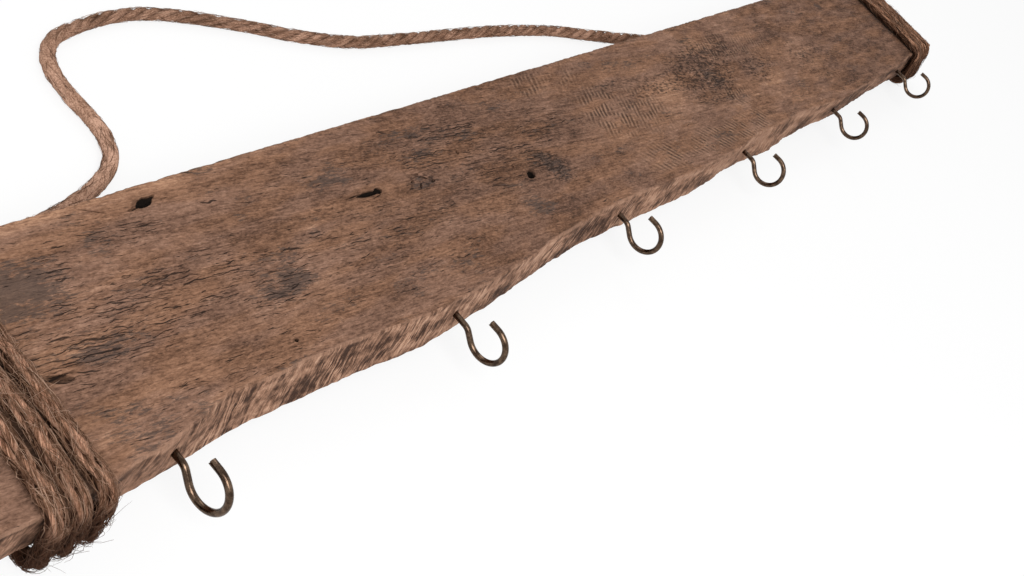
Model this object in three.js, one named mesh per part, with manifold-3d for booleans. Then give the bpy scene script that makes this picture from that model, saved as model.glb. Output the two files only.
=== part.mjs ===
// A wall rack hung by a rope: a worn plank with screw hooks along one long edge, and a rope wound round
// both ends. Millimetres. The rack lies on its back: +X runs along the plank, +Y points away from the hooks
// towards the hanging loop, and +Z is the normal of the plank's face. The origin is under the middle of the
// rack, on the ground.

import * as THREE from 'three';
import { mergeVertices } from 'three/addons/utils/BufferGeometryUtils.js';
import Module from 'manifold-3d';

const wasm = await Module();
wasm.setup();

// The plank.
const plankLength = 1260;
const plankWidth = 135;
const plankThickness = 30;
const edgeRounding = 3;

// The front edge as seen on the face and on the back: the share of the length from the left end, and the
// share of the width by which the wood is worn back, or stands out where it is negative.
const faceEdgeShares = [
  [0, -0.024], [0.054, -0.024], [0.067, -0.007], [0.079, -0.01], [0.088, 0.015], [0.1, 0.034],
  [0.115, 0.064], [0.135, 0.042], [0.153, 0.041], [0.181, 0.027], [0.2, 0.005], [0.216, -0.01],
  [0.234, -0.024], [0.254, -0.024],
  [0.281, -0.016], [0.304, -0.006], [0.328, 0.018], [0.354, 0.029], [0.381, 0.045], [0.407, 0.041],
  [0.428, 0.037], [0.454, 0.016], [0.483, 0.004], [0.528, -0.005], [0.571, 0.004], [0.596, 0.037],
  [0.641, 0.024], [0.693, 0.022], [0.743, -0.027], [0.804, -0.01], [0.866, 0.001], [0.92, 0.021],
  [0.94, 0.044], [1, 0.044],
];
const backEdgeShares = [
  [0, -0.014], [0.068, -0.014], [0.109, -0.001], [0.126, 0.005], [0.143, -0.002], [0.18, -0.022],
  [0.216, -0.053], [0.241, -0.063], [0.278, -0.047], [0.312, -0.024], [0.344, -0.002], [0.377, 0.012],
  [0.411, 0.001],
  [0.468, -0.019], [0.509, -0.031], [0.559, -0.01], [0.588, -0.007], [0.637, -0.035], [0.67, -0.007],
  [0.703, -0.011], [0.77, -0.027], [0.806, -0.017], [0.852, 0.008], [0.893, 0.004], [1, 0.004],
];

// Old damage in the face. A pit is half an ellipsoid, and its turn is in degrees from the grain.
const knotLength = 13;
const knotWidth = 5.5;
const knotDepth = 6;
const splitLength = 22;
const splitWidth = 5;
const splitDepth = 6;
const chipLength = 13;
const chipWidth = 6;
const chipDepth = 3;
const boltHoleLength = 9;
const boltHoleWidth = 6.5;
const boltHoleDepth = 8;
const dimpleLength = 3.5;
const dimpleWidth = 4.5;
const dimpleDepth = 3;
const nailHoleWidth = 2.5;
const nailHoleDepth = 8;
const pits = [
  { alongShare: 0.14, acrossShare: 0.912, size: [knotLength, knotWidth, knotDepth], turn: 15 },
  { alongShare: 0.25, acrossShare: 0.611, size: [splitLength, splitWidth, splitDepth], turn: -4 },
  { alongShare: 0.061, acrossShare: 0.359, size: [chipLength, chipWidth, chipDepth], turn: -20 },
  { alongShare: 0.358, acrossShare: 0.391, size: [boltHoleLength, boltHoleWidth, boltHoleDepth], turn: 20 },
  { alongShare: 0.322, acrossShare: 0.655, size: [dimpleLength, dimpleWidth, dimpleDepth], turn: 0 },
  { alongShare: 0.155, acrossShare: 0.133, size: [nailHoleWidth, nailHoleWidth, nailHoleDepth], turn: 0 },
];
const pitSides = 12;

// The hooks, each one bent wire. The neck bends away from the tip's side, and the bowl bends back round.
const hookCount = 6;
const hookEndInset = 107.5;
const wireDiameter = 4;
const threadLength = 24;
const shankLength = 6.7;
const neckRadius = 7;
const neckTurn = 40;
const neckRun = 6.3;
const bowlRadius = 13.15;
const bowlTurn = 221.5;
const tipLength = 5.5;
const wireSides = 10;
const wireSteps = 40;
const pilotSides = 16;
const pilotClearance = 0.3;

// Each hook's slip along the plank as a share of the pitch, how far it is left unscrewed as a share of the
// wire's diameter, and its lean from upright in degrees.
const hookSlipShares = [0.009, -0.001, -0.02, 0.009, -0.01, 0.009];
const hookBackedOutShares = [-0.25, 0.4, 0, 0.65, 0.55, 1];
const hookLeans = [5, -1.8, 0.4, 5.4, -1.1, 0.8];

// The rope, its turns round the plank's ends, and the strand that crosses beneath them. The slack is how far
// a winding's turns hang below the plank's front edge.
const ropeDiameter = 9.5;
const ropeSeat = 0.3;
const turnPitch = 12.3;
const leftTurns = 3;
const rightTurns = 4;
const leftInset = 62;
const rightInset = 68;
const leftSlack = 4;
const rightSlack = 1;
const slackOutShare = 0.3;
const crossingGap = 0.6;
const exitInset = 16;
const exitReach = 4;
const ropeJoint = 0.3;
const groundClearance = 0.3;
const flatShare = 0.1;
const sectionSides = 6;
const cornerSteps = 4;
const shiftShares = [0.14, 0.24, 0.34, 0.44];
const tailShare = 0.52;
const dropShares = [[0.08, 0.1], [0.16, 0.5], [0.24, 0.9], [0.32, 1]];
const crossingShares = [0.58, 0.84];
const stretchDiameters = 3;
const looseSides = 8;
const gapSamples = 4;

// The loose loop's route on the ground, from the left winding to the right one.
const looseRoute = [
  [-543, 103.8], [-531, 107], [-512, 107.6], [-485, 107.6], [-464, 111.5], [-446, 117],
  [-428.5, 125.5], [-418.5, 134], [-413, 143.5], [-410, 154.5], [-410, 168.5], [-411, 184.5], [-410.5, 200.5],
  [-405.5, 217], [-393.5, 229.5], [-372.5, 236], [-348.5, 239.5], [-316.5, 237.5], [-283.5, 226.5],
  [-249, 211.5], [-213.5, 194], [-173, 180], [-124, 172.5], [-67.5, 166], [-6.5, 158], [56.5, 145], [116, 125.5],
  [184, 105.5], [216, 98],
  [255, 95], [345, 95], [430, 95.5], [462, 99.5], [490, 106], [510, 110], [527, 109], [539, 104],
];

const wood = { color: 0x7a5c46, roughness: 0.88, metalness: 0 };
const bronze = { color: 0x4b423c, roughness: 0.42, metalness: 0.85 };
const jute = { color: 0x8d6a4c, roughness: 0.95, metalness: 0 };

const ropeRadius = ropeDiameter / 2;
const wireRadius = wireDiameter / 2;
const hookPitch = (plankLength - 2 * hookEndInset) / (hookCount - 1);
const underTurns = plankThickness + ropeSeat + ropeRadius;
const crossingDepth = underTurns + ropeDiameter + crossingGap;
const groundDepth = crossingDepth + ropeRadius - ropeDiameter * flatShare;

function toSolid(geometry) {
  const bare = geometry.clone();
  bare.deleteAttribute('normal');
  bare.deleteAttribute('uv');
  const merged = mergeVertices(bare);
  return new wasm.Manifold(new wasm.Mesh({
    numProp: 3,
    vertProperties: merged.attributes.position.array,
    triVerts: new Uint32Array(merged.index.array),
  }));
}

function toGeometry(solid) {
  const { vertProperties, triVerts } = solid.getMesh();
  const geometry = new THREE.BufferGeometry();
  geometry.setAttribute('position', new THREE.BufferAttribute(vertProperties, 3));
  geometry.setIndex(new THREE.BufferAttribute(triVerts, 1));
  geometry.computeVertexNormals();
  return geometry;
}

// Rings of equal counts, one after another, closed by a flat fan on the first and on the last ring.
function skinRings(rings) {
  const sides = rings[0].length;
  const corners = [];
  const triangle = (a, b, c) => corners.push(...a.toArray(), ...b.toArray(), ...c.toArray());
  for (let i = 0; i + 1 < rings.length; i += 1) {
    for (let j = 0; j < sides; j += 1) {
      const k = (j + 1) % sides;
      triangle(rings[i][j], rings[i][k], rings[i + 1][j]);
      triangle(rings[i][k], rings[i + 1][k], rings[i + 1][j]);
    }
  }
  const first = rings[0];
  const last = rings[rings.length - 1];
  for (let j = 1; j + 1 < sides; j += 1) {
    triangle(first[0], first[j + 1], first[j]);
    triangle(last[0], last[j], last[j + 1]);
  }
  const geometry = new THREE.BufferGeometry();
  geometry.setAttribute('position', new THREE.Float32BufferAttribute(corners, 3));
  geometry.computeVertexNormals();
  return geometry;
}

function named(name, geometry, look) {
  const mesh = new THREE.Mesh(geometry, new THREE.MeshStandardMaterial(look));
  mesh.name = name;
  return mesh;
}

// The worn-back depth of an edge at a share of the length.
function wearAt(edgeShares, share) {
  const next = edgeShares.findIndex(([along]) => along >= share);
  if (next <= 0) return edgeShares[0][1] * plankWidth;
  const [a, wearA] = edgeShares[next - 1];
  const [b, wearB] = edgeShares[next];
  return plankWidth * THREE.MathUtils.lerp(wearA, wearB, (share - a) / (b - a));
}

const shareAt = (x) => x / plankLength + 1 / 2;
const placeOf = (share) => (share - 1 / 2) * plankLength;

// The plank's outline at one place along it, once round from the front edge of the back.
function plankRing(share) {
  const face = wearAt(faceEdgeShares, share);
  const back = wearAt(backEdgeShares, share);
  const corners = [
    [back + edgeRounding, -plankThickness], [plankWidth - edgeRounding, -plankThickness],
    [plankWidth, edgeRounding - plankThickness], [plankWidth, -edgeRounding],
    [plankWidth - edgeRounding, 0], [face + edgeRounding, 0],
    [face, -edgeRounding], [back, edgeRounding - plankThickness],
  ];
  return corners.map(([y, z]) => new THREE.Vector3(placeOf(share), y, z));
}

// Half the front edge's worn depth on the face and on the back: where the wood is at a hook.
function frontAt(x) {
  return (wearAt(faceEdgeShares, shareAt(x)) + wearAt(backEdgeShares, shareAt(x))) / 2;
}

const hookPlaces = hookSlipShares.map((slip, k) => {
  const x = (k - (hookCount - 1) / 2 + slip) * hookPitch;
  return { x, rootY: frontAt(x) - hookBackedOutShares[k] * wireDiameter, lean: hookLeans[k] };
});

function pitCutter({ alongShare, acrossShare, size, turn }) {
  const [length, width, depth] = size;
  const cutter = new THREE.SphereGeometry(1, pitSides, pitSides / 2);
  cutter.scale(length / 2, width / 2, depth);
  cutter.rotateZ(THREE.MathUtils.degToRad(turn));
  cutter.translate(placeOf(alongShare), acrossShare * plankWidth, 0);
  return toSolid(cutter);
}

// The pilot hole runs from clear of the front edge to just past the hook's buried end.
function pilotCutter({ x, rootY }) {
  const radius = (wireRadius + pilotClearance) / Math.cos(Math.PI / pilotSides);
  const outer = -plankWidth / 2;
  const inner = rootY + threadLength + pilotClearance;
  const cutter = new THREE.CylinderGeometry(radius, radius, inner - outer, pilotSides);
  cutter.translate(x, (inner + outer) / 2, -plankThickness / 2);
  return toSolid(cutter);
}

function makePlank() {
  const stations = new Set([...faceEdgeShares, ...backEdgeShares].map(([share]) => share));
  const rings = [...stations].sort((a, b) => a - b).map(plankRing);
  let solid = toSolid(skinRings(rings));
  const cutters = [...pits.map(pitCutter), ...hookPlaces.map(pilotCutter)];
  cutters.forEach((cutter) => {
    solid = solid.subtract(cutter);
  });
  return named('plank', toGeometry(solid), wood);
}

// The centreline of a bent wire in the YZ plane, from its buried end out along -Y, by straight runs and
// bends. A positive turn bends towards +Z.
class WireLine extends THREE.Curve {
  constructor(pieces) {
    super();
    this.pieces = pieces.map(({ run, radius, turn }) => {
      const angle = radius ? THREE.MathUtils.degToRad(turn) : 0;
      return { radius, angle, length: radius ? radius * Math.abs(angle) : run };
    });
    this.total = this.pieces.reduce((sum, piece) => sum + piece.length, 0);
  }

  getPoint(t, target = new THREE.Vector3()) {
    let left = t * this.total;
    let heading = 0;
    let out = -threadLength;
    let side = 0;
    for (const { radius, angle, length } of this.pieces) {
      const along = Math.min(left, length);
      if (radius) {
        const turned = angle * along / length;
        const bend = radius * Math.sign(angle);
        out += bend * (Math.sin(heading + turned) - Math.sin(heading));
        side += bend * (Math.cos(heading) - Math.cos(heading + turned));
        heading += turned;
      } else {
        out += along * Math.cos(heading);
        side += along * Math.sin(heading);
      }
      left -= along;
      if (left <= 0) break;
    }
    return target.set(0, -out, side);
  }
}

function ringShape(radius, sides) {
  const corners = Array.from({ length: sides }, (_, i) => {
    const angle = 2 * Math.PI * i / sides;
    return new THREE.Vector2(radius * Math.cos(angle), radius * Math.sin(angle));
  });
  return new THREE.Shape(corners);
}

function makeHook({ x, rootY, lean }, index) {
  const line = new WireLine([
    { run: threadLength + shankLength },
    { radius: neckRadius, turn: -neckTurn },
    { run: neckRun },
    { radius: bowlRadius, turn: bowlTurn },
    { run: tipLength },
  ]);
  const wire = { steps: wireSteps, extrudePath: line, bevelEnabled: false };
  const bent = new THREE.ExtrudeGeometry(ringShape(wireRadius, wireSides), wire);
  const hook = named(`hook_${index + 1}`, bent, bronze);
  hook.position.set(x, rootY, -plankThickness / 2);
  hook.rotation.y = THREE.MathUtils.degToRad(lean);
  return hook;
}

// The rounded corners that a turn bends round, in its order: the far back corner, the far face corner, the
// front face corner and the front back corner, where it hangs slack. Each arc starts and ends square to the
// straight runs beside it.
function turnCorners(x, slack) {
  const face = wearAt(faceEdgeShares, shareAt(x));
  const back = wearAt(backEdgeShares, shareAt(x));
  const low = edgeRounding - plankThickness;
  const centres = [
    [plankWidth - edgeRounding, low], [plankWidth - edgeRounding, -edgeRounding],
    [face + edgeRounding, -edgeRounding], [back + edgeRounding - slack * slackOutShare, low - slack],
  ];
  const leaving = centres.map(([y, z], i) => {
    const [nextY, nextZ] = centres[(i + 1) % centres.length];
    return Math.atan2(y - nextY, nextZ - z);
  });
  return centres.map(([y, z], i) => {
    const start = leaving[(i + centres.length - 1) % centres.length];
    const bend = (leaving[i] - start + 2 * Math.PI) % (2 * Math.PI);
    return { y, z, start, bend };
  });
}

function turnPoints(x, slack) {
  const reach = edgeRounding + ropeSeat + ropeRadius;
  return turnCorners(x, slack).flatMap(({ y, z, start, bend }) => (
    Array.from({ length: cornerSteps + 1 }, (_, i) => {
      const angle = start + bend * i / cornerSteps;
      const out = new THREE.Vector3(0, Math.cos(angle), Math.sin(angle));
      return { place: new THREE.Vector3(x, y, z).addScaledVector(out, reach), out };
    })
  ));
}

const smooth = (share) => share * share * (3 - 2 * share);

// One winding, from its tail on the plank's back to the strand that leaves for the loose loop. Each turn
// shifts to the next lane on the back, and after the last one the rope crosses beneath the turns and out at
// the far side.
function windingPoints(side, turns, inset, slack) {
  const down = new THREE.Vector3(0, 0, -1);
  const lane = (k) => side * (plankLength / 2 - inset + k * turnPitch);
  const under = (x, y, depth) => ({ place: new THREE.Vector3(x, y, -depth), out: down });
  const points = [under(lane(0), tailShare * plankWidth, underTurns)];
  for (let k = 0; k < turns; k += 1) {
    points.push(...turnPoints(lane(k), slack));
    if (k + 1 < turns) {
      shiftShares.forEach((share, i) => {
        const eased = smooth((i + 1) / shiftShares.length);
        points.push(under(THREE.MathUtils.lerp(lane(k), lane(k + 1), eased), share * plankWidth, underTurns));
      });
    }
  }
  for (const [share, dropped] of dropShares) {
    const depth = THREE.MathUtils.lerp(underTurns, crossingDepth, dropped);
    points.push(under(lane(turns - 1), share * plankWidth, depth));
  }
  const crossingStart = points[points.length - 1].place;
  const exit = new THREE.Vector3(lane(0) - side * exitInset, plankWidth + exitReach, -crossingDepth);
  const looseDepth = groundDepth - ropeRadius - groundClearance;
  const crossingAt = (share, depth) => {
    const place = crossingStart.clone().lerp(exit, share);
    return under(place.x, place.y, depth);
  };
  const straightShare = 1 - ropeDiameter / crossingStart.distanceTo(exit);
  crossingShares.forEach((share) => points.push(crossingAt(share, crossingDepth)));
  points.push(crossingAt(straightShare, looseDepth));
  points.push(crossingAt(1, looseDepth));
  return points;
}

function woundRings(points) {
  return points.map(({ place, out }, i) => {
    const before = points[Math.max(i - 1, 0)].place;
    const after = points[Math.min(i + 1, points.length - 1)].place;
    const along = after.clone().sub(before).normalize();
    const outward = out.clone().addScaledVector(along, -out.dot(along)).normalize();
    const sideways = along.clone().cross(outward);
    return Array.from({ length: sectionSides }, (_, j) => {
      const angle = 2 * Math.PI * j / sectionSides;
      return place.clone()
        .addScaledVector(outward, ropeRadius * Math.cos(angle))
        .addScaledVector(sideways, ropeRadius * Math.sin(angle));
    });
  });
}

// The least distance between two stretches of a winding's skin, measured between samples of its centreline.
function leastGap(points) {
  const samples = [];
  let travelled = 0;
  for (let i = 0; i + 1 < points.length; i += 1) {
    const [a, b] = [points[i].place, points[i + 1].place];
    for (let j = 0; j < gapSamples; j += 1) {
      const place = a.clone().lerp(b, j / gapSamples);
      samples.push({ place, travelled: travelled + a.distanceTo(place) });
    }
    travelled += a.distanceTo(b);
  }
  let least = Infinity;
  for (const one of samples) {
    for (const other of samples) {
      const apart = other.travelled - one.travelled > stretchDiameters * ropeDiameter;
      if (apart) least = Math.min(least, one.place.distanceTo(other.place) - ropeDiameter);
    }
  }
  return least;
}

// What lies below the ground is cut off, so the rack rests on a flat of the crossing strand.
function makeWinding(name, points) {
  console.log(`${name}: least gap to itself ${leastGap(points).toFixed(2)} mm`);
  const ground = new THREE.BoxGeometry(2 * plankLength, 2 * plankLength, plankThickness);
  ground.translate(0, 0, -groundDepth - plankThickness / 2);
  const solid = toSolid(skinRings(woundRings(points))).subtract(toSolid(ground));
  return named(name, toGeometry(solid), jute);
}

// The loose rope starts and ends square to the windings' exits, a joint's width away from them.
function makeLooseRope(exits) {
  const height = ropeRadius + groundClearance;
  const route = looseRoute.map(([x, y]) => new THREE.Vector3(x, y, height));
  const [leftLead, rightLead] = exits.map(({ place, heading }) => (
    [ropeJoint, ropeJoint + ropeDiameter].map((reach) => place.clone().addScaledVector(heading, reach))
  ));
  const line = new THREE.CatmullRomCurve3([...leftLead, ...route, ...rightLead.reverse()]);
  const steps = Math.round(line.getLength() / (2 * ropeDiameter));
  console.log(`hanging_rope: ${line.getLength().toFixed(0)} mm long, in ${steps} steps`);
  const section = ringShape(ropeRadius, looseSides);
  const geometry = new THREE.ExtrudeGeometry(section, { steps, extrudePath: line, bevelEnabled: false });
  return named('hanging_rope', geometry, jute);
}

const leftPoints = windingPoints(-1, leftTurns, leftInset, leftSlack);
const rightPoints = windingPoints(1, rightTurns, rightInset, rightSlack);

const rack = new THREE.Group();
rack.add(makePlank());
hookPlaces.forEach((place, index) => rack.add(makeHook(place, index)));
rack.add(makeWinding('left_winding', leftPoints));
rack.add(makeWinding('right_winding', rightPoints));

// The rack's box is centred over the origin and stands on it.
const box = new THREE.Box3().setFromObject(rack, true);
const centre = box.getCenter(new THREE.Vector3());
rack.position.set(-centre.x, -centre.y, -box.min.z);

const exits = [leftPoints, rightPoints].map((points) => {
  const [before, last] = points.slice(-2).map((point) => point.place);
  return { place: last.clone().add(rack.position), heading: last.clone().sub(before).normalize() };
});
console.log(`rack stands ${(-centre.y).toFixed(2)} mm from the front line, ${(-box.min.z).toFixed(2)} mm up`);

const group = new THREE.Group();
group.add(rack, makeLooseRope(exits));

export default group;
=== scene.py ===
"""The looks of the hanging rope shelf: an old board, six wire hooks and a jute rope round its ends."""

import math
import random

import bpy
import numpy as np
from mathutils import Matrix, Vector, noise


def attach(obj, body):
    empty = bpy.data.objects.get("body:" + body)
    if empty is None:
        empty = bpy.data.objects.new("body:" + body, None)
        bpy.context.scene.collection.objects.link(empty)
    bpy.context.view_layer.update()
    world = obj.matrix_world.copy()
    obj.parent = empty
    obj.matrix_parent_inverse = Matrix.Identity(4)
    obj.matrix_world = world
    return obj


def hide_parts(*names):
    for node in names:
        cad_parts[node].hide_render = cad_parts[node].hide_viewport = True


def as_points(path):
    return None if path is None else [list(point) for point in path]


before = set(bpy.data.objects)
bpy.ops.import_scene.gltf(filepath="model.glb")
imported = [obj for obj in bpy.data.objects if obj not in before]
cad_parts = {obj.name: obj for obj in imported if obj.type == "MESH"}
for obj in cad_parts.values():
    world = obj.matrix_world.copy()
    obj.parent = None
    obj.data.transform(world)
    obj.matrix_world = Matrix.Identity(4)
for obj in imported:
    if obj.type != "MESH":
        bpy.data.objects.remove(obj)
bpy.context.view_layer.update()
bpy.ops.object.select_all(action="DESELECT")

# Lengths are in metres, except where a comment says millimetres.
MM = 0.001
rng = random.Random(7)

# The camera, at the photograph's place. Its matrix has its right, up and backward directions as columns.
CAMERA_PLACE = (-0.8107, -0.1958, 0.4882)
CAMERA_RIGHT = (0.5729, -0.6507, 0.4983)
CAMERA_UP = (0.3105, 0.7350, 0.6029)
CAMERA_AHEAD = (0.7585, 0.1907, -0.6231)
CAMERA_LENS = 40.49
CAMERA_SENSOR = 36.0
CAMERA_NEAR = 0.01
CAMERA_FAR = 50

# The rope and its lay.
ROPE_DIAMETER = 0.0095
ROPE_RADIUS = ROPE_DIAMETER / 2
ROPE_HEIGHT = 0.00505
LOOSE_LAY = 0.037
WOUND_LAY = 0.085
STRAND_RADIUS = 0.00255
STRAND_OFFSET = 0.00210
WOOLLY_RADIUS = 0.00375
WOOLLY_OFFSET = 0.00092
WOOLLY_UNTIL = 0.285
WOOLLY_FADE = 0.06
GROUND = 0.0002
STRAND_COUNT = 3
STRAND_SIDES = 16
YARN_COUNT = 4
YARN_SIDES = 8
YARN_SHARE = 0.50
YARN_LAY = 0.034
ROPE_STEP = 0.0018

# Its fibres. A range of tones is a middle and a spread.
HIGHEST_FIBRE = 0.0665
LOWEST_FIBRE = 0.0003
LAID_THICKNESS = (0.00008, 0.00022)
LAID_TONES = (0.42, 0.30)
STRAY_THICKNESS = (0.00006, 0.00013)
STRAY_TONES = (0.60, 0.24)
STRAY_POINTS = 7
SHORTEST_STRAY = 0.004

# Where the loose loop leaves the left winding.
# Its route on the ground from there to the right winding, in millimetres.
LOOSE_ROUTE = [
    (-551.88, 90.28), (-548.18, 99.02), (-543, 103.8), (-531, 107), (-512, 107.6), (-485, 107.6),
    (-464, 111.5), (-446, 117), (-428.5, 125.5), (-418.5, 134), (-413, 143.5), (-410, 154.5),
    (-410, 168.5), (-411, 184.5), (-410.5, 200.5), (-405.5, 217), (-393.5, 229.5), (-372.5, 236),
    (-348.5, 239.5), (-316.5, 237.5), (-283.5, 226.5), (-249, 211.5), (-213.5, 194), (-173, 180),
    (-124, 172.5), (-67.5, 166), (-6.5, 158), (56.5, 145), (116, 125.5), (184, 105.5), (216, 98),
    (255, 95), (345, 95), (430, 95.5), (462, 99.5), (490, 106), (510, 110), (527, 109), (539, 104),
    (541.26, 98.58), (545.85, 90.26),
]
# Its girth, as a share of the rope's, at these lengths along it in metres.
LOOSE_GIRTH = [
    (0.23, 1), (0.28, 0.9), (0.40, 0.92), (0.46, 1), (0.72, 1), (0.76, 1.1), (0.83, 1.12), (0.87, 1),
]

# The board, and how far its front edge is worn back on the face and on the back, as shares of its width.
BOARD_LENGTH = 1.26
BOARD_WIDTH = 0.135
BOARD_THICKNESS = 0.03
FRONT_LINE = -0.049
FAR_LINE = FRONT_LINE + BOARD_WIDTH
FACE_HEIGHT = 0.04895
BACK_HEIGHT = FACE_HEIGHT - BOARD_THICKNESS
FACE_WEAR = [
    (0, -0.024), (0.054, -0.024), (0.067, -0.007), (0.079, -0.01), (0.088, 0.015), (0.1, 0.034),
    (0.115, 0.064), (0.135, 0.042), (0.153, 0.041), (0.181, 0.027), (0.2, 0.005), (0.216, -0.01),
    (0.234, -0.024), (0.254, -0.024), (0.281, -0.016), (0.304, -0.006), (0.328, 0.018), (0.354, 0.029),
    (0.381, 0.045), (0.407, 0.041), (0.428, 0.037), (0.454, 0.016), (0.483, 0.004), (0.528, -0.005),
    (0.571, 0.004), (0.596, 0.037), (0.641, 0.024), (0.693, 0.022), (0.743, -0.027), (0.804, -0.01),
    (0.866, 0.001), (0.92, 0.021), (0.94, 0.044), (1, 0.044),
]
BACK_WEAR = [
    (0, -0.014), (0.068, -0.014), (0.109, -0.001), (0.126, 0.005), (0.143, -0.002), (0.18, -0.022),
    (0.216, -0.053), (0.241, -0.063), (0.278, -0.047), (0.312, -0.024), (0.344, -0.002), (0.377, 0.012),
    (0.411, 0.001), (0.468, -0.019), (0.509, -0.031), (0.559, -0.01), (0.588, -0.007), (0.637, -0.035),
    (0.67, -0.007), (0.703, -0.011), (0.77, -0.027), (0.806, -0.017), (0.852, 0.008), (0.893, 0.004),
    (1, 0.004),
]

# Old damage in the face, in millimetres: place along and across, length, width and depth. The last number is
# the turn from the grain in degrees.
PITS = [
    (-454.2, 74.2, 11.5, 6.0, 6, 15), (-449.5, 75.6, 9, 2.4, 2.4, 20), (-462.0, 72.4, 10, 2.0, 1.6, 8),
    (-318.5, 33.4, 21, 4.2, 6, -4), (-310.2, 33.2, 6.5, 5.0, 6, 10), (-331.0, 35.2, 15, 1.1, 2.0, 1),
    (-314.0, 29.7, 9, 1.0, 1.6, 8), (-552.6, 0.9, 14, 5.4, 2.6, -24), (-178.8, 3.8, 9.5, 6.5, 8, 20),
    (-188.5, 14.5, 2.4, 2.4, 2, 0), (-224.7, 39.2, 2.8, 3.6, 3, -20), (-434.3, -31.0, 2.8, 2.3, 8, 10),
    (-483.4, 78.3, 17, 1.0, 1.5, -31), (-276.0, 26.0, 6, 2.0, 2.2, 50), (-269.0, 30.5, 6, 1.7, 2.4, -35),
    (-264.0, 26.0, 4.5, 1.9, 2.0, 10), (-273.0, 34.5, 5, 1.4, 1.8, 0), (-280.0, 31.0, 4, 1.4, 1.6, 20),
]

# The hooks: root along, root across, both in millimetres, and lean in degrees.
HOOK_ROOTS = [
    (-520.62, -47.75, 5), (-313.71, -56.18, -1.8), (-108.68, -46.32, 0.4),
    (106.38, -50.63, 5.4), (311.41, -54.40, -1.1), (524.38, -51.41, 0.8),
]
HOOK_HEIGHT = 0.03395
WIRE_RADIUS = 0.002
THREAD_LENGTH = 0.024
SHANK_LENGTH = 0.0067
NECK_RADIUS = 0.007
NECK_TURN = 40
NECK_RUN = 0.0063
BOWL_RADIUS = 0.01315
BOWL_TURN = 221.5
TIP_LENGTH = 0.0055
PILOT_RADIUS = 0.0023
PILOT_DEPTH = 0.045
PILOT_MIDDLE = 0.002
NIP_SIZE = (0.006, 0.0011, 0.0011)
NIP_ROUNDING = 0.0002


# Sums of shader values.
class Value:
    """A socket that takes part in sums."""

    def __init__(self, look, socket):
        self.look = look
        self.socket = socket

    def sum(self, operation, *others):
        return self.look.node("ShaderNodeMath", {"operation": operation}, dict(enumerate((self, *others))))

    def __add__(self, other):
        return self.sum("ADD", other)

    __radd__ = __add__

    def __sub__(self, other):
        return self.sum("SUBTRACT", other)

    def __rsub__(self, other):
        return self.look.node("ShaderNodeMath", {"operation": "SUBTRACT"}, {0: other, 1: self})

    def __mul__(self, other):
        return self.sum("MULTIPLY", other)

    __rmul__ = __mul__

    def __truediv__(self, other):
        return self.sum("DIVIDE", other)

    def __abs__(self):
        return self.sum("ABSOLUTE")

    def least(self, other):
        return self.sum("MINIMUM", other)

    def most(self, other):
        return self.sum("MAXIMUM", other)

    def eased(self, low, high):
        """0 below low, 1 above high and smooth between, or the other way round where low is above high."""
        if low > high:
            return 1 - self.eased(high, low)
        return self.look.node(
            "ShaderNodeMapRange", {"interpolation_type": "SMOOTHSTEP"}, {0: self, 1: low, 2: high})


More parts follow.
